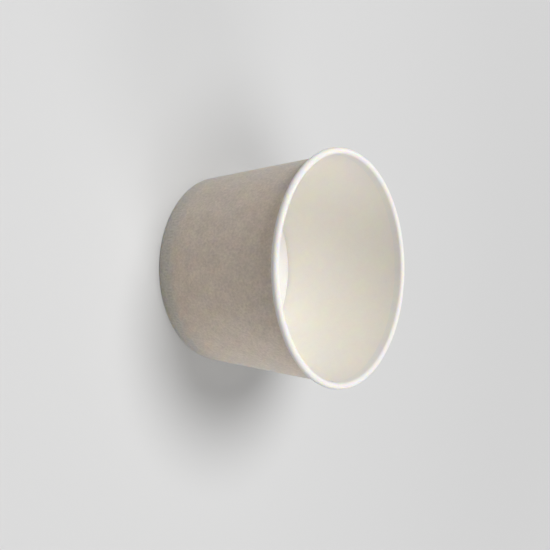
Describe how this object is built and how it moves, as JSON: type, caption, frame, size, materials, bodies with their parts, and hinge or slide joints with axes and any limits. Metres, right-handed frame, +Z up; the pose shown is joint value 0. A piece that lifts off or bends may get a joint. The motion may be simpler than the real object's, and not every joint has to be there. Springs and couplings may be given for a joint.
{
  "type": "paper soup container",
  "caption": "Round tapered paperboard soup container, open at the top, with a rolled rim, a lapped side seam and a recessed bottom.",
  "frame": {"origin": "centre of the foot, in the plane it stands on", "axes": "+Z up along the container's axis to the open rim; the side seam is near +X"},
  "size_m": [0.091, 0.091, 0.0615],
  "materials": {
    "side_wall": "matte uncoated outside, smooth satin coating inside",
    "bottom_disc": "smooth satin coating"
  },
  "bodies": {
    "root": {"side_wall": "side_wall", "bottom_disc": "bottom_disc"}
  },
  "joints": []
}
